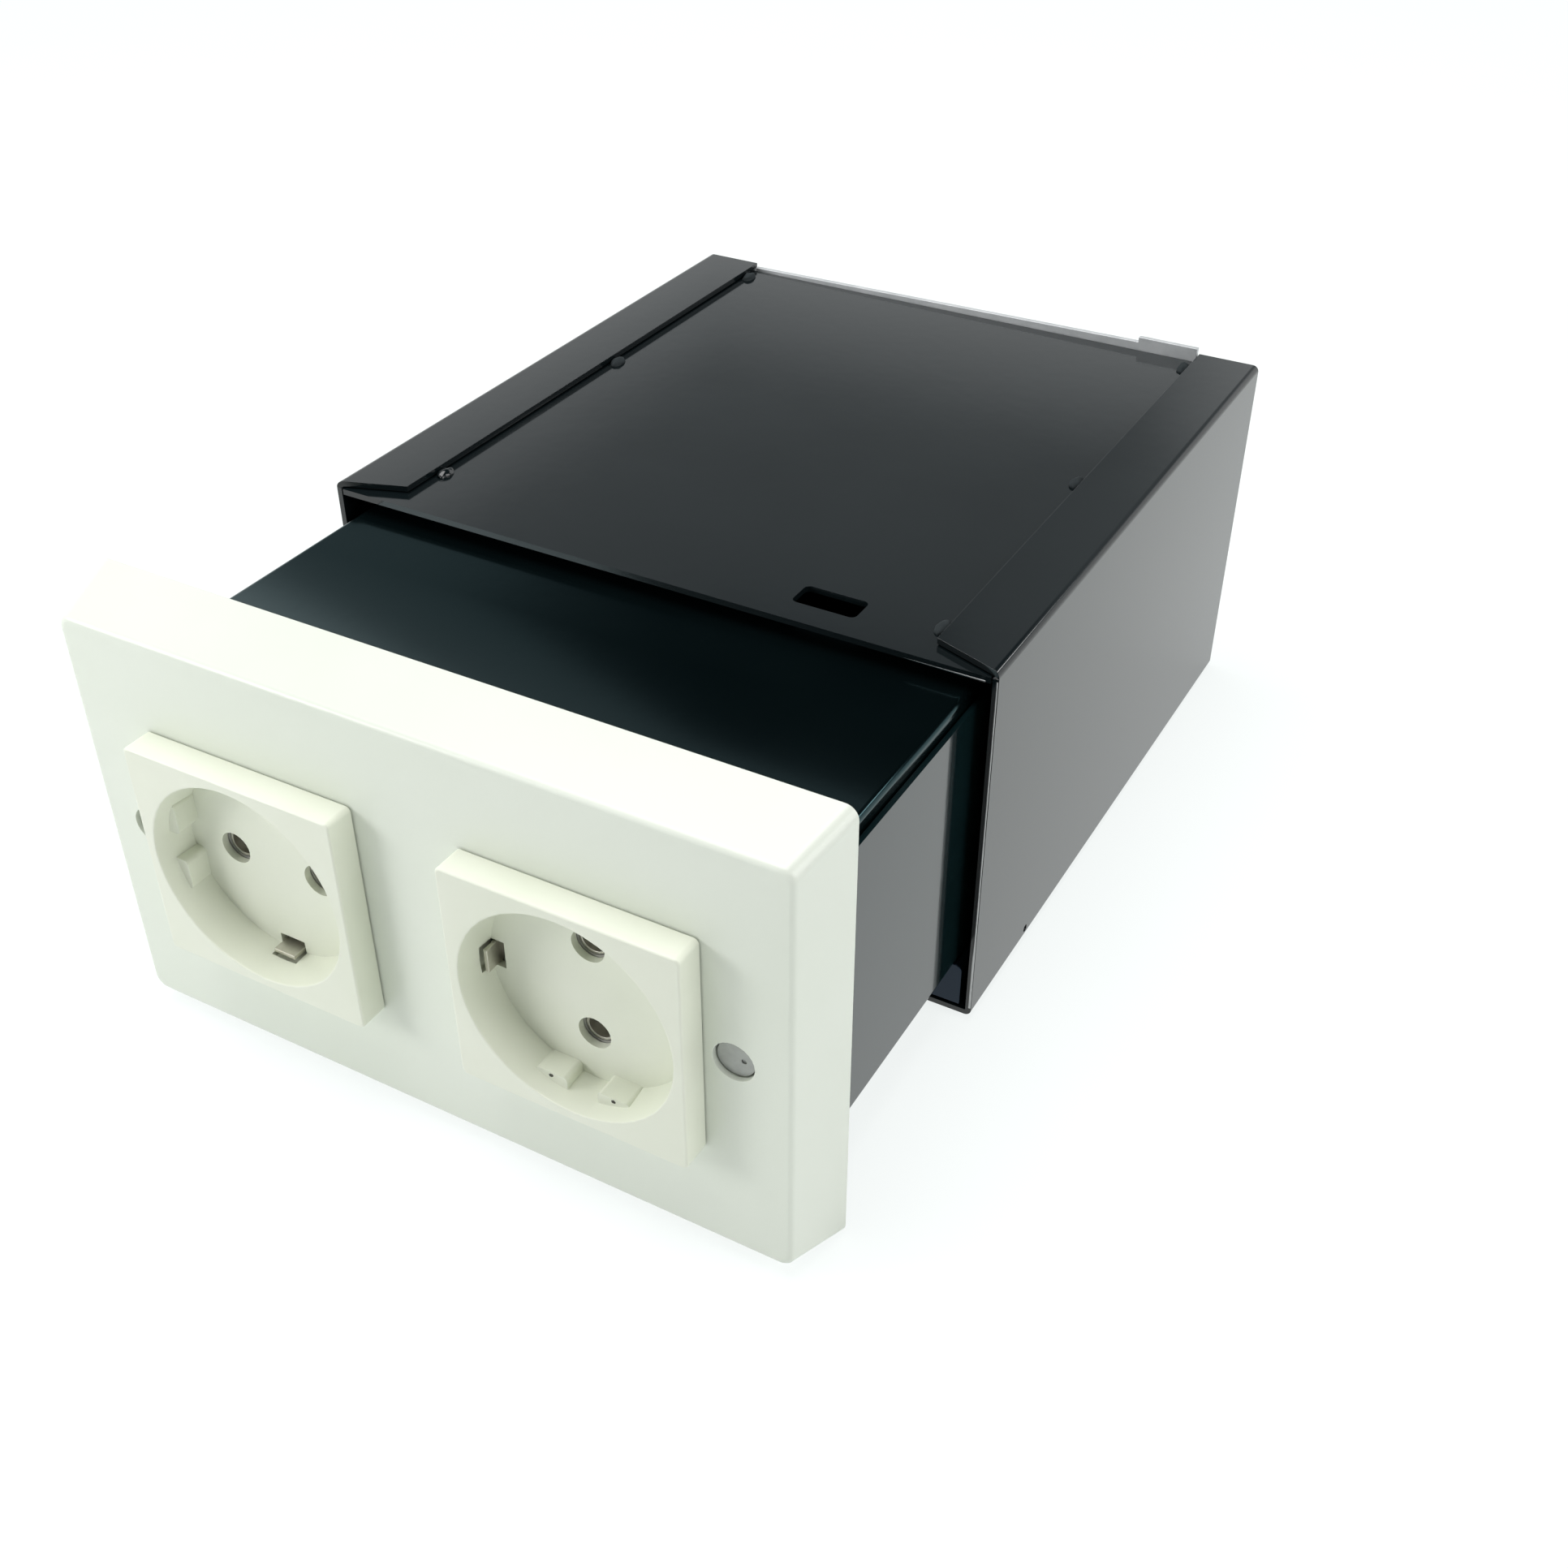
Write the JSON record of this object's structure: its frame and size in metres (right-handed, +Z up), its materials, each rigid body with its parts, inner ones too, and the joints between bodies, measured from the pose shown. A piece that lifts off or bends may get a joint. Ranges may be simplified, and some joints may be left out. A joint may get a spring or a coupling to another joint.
{
  "type": "outlet diversion safe",
  "caption": "Steel wall safe whose drawer slides out behind a false double socket face, with a lock arm that turns up into a slot in the sleeve.",
  "frame": {"origin": "on the ground under the middle of the box around the part, with the drawer part way out as it stands at rest", "axes": "+X right as seen from the front, +Y from the face plate into the wall, +Z up"},
  "size_m": [0.1492, 0.2222, 0.0924],
  "materials": {
    "white_moulding": "satin moulded thermoplastic",
    "black_coat": "gloss black paint on sheet steel",
    "zinc_steel": "zinc plated",
    "lock_metal": "satin nickel plated",
    "contact_brass": "tin plated strip",
    "base_moulding": "moulded thermoset"
  },
  "bodies": {
    "sleeve": {"sleeve_shell": "black_coat", "sleeve_top_plate": "black_coat", "sleeve_rear_wall": "zinc_steel", "runner_left": "black_coat", "runner_right": "black_coat"},
    "drawer": {"face_plate": "white_moulding", "socket_cover_left": "white_moulding", "socket_cover_right": "white_moulding", "insert_frame_left": "zinc_steel", "insert_frame_right": "zinc_steel", "socket_base_left": "base_moulding", "socket_base_right": "base_moulding", "earth_strap_left": "contact_brass", "earth_strap_right": "contact_brass", "contact_tube_left_1": "contact_brass", "contact_tube_left_2": "contact_brass", "contact_tube_right_1": "contact_brass", "contact_tube_right_2": "contact_brass", "mounting_plate": "zinc_steel", "plate_screw_1": "zinc_steel", "plate_screw_2": "zinc_steel", "plate_screw_3": "zinc_steel", "plate_screw_4": "zinc_steel", "rivet_1": "lock_metal", "rivet_2": "lock_metal", "rivet_3": "lock_metal", "rivet_4": "lock_metal", "drawer_tray": "black_coat", "drawer_deck": "black_coat", "blank_pin": "lock_metal", "lock_bushing": "zinc_steel"},
    "lock": {"lock_plug": "lock_metal", "lock_cam": "zinc_steel", "cam_screw": "zinc_steel"}
  },
  "joints": [
    {"name": "drawer_slide", "type": "slide", "parent": "sleeve", "child": "drawer", "axis": [0, 1, 0], "range_m": [-0.087, 0.057]},
    {"name": "lock_turn", "type": "hinge", "parent": "drawer", "child": "lock", "pos_m": [0.061, -0.08295, 0.047], "axis": [0, 1, 0], "range_deg": [0, 51.6]}
  ]
}
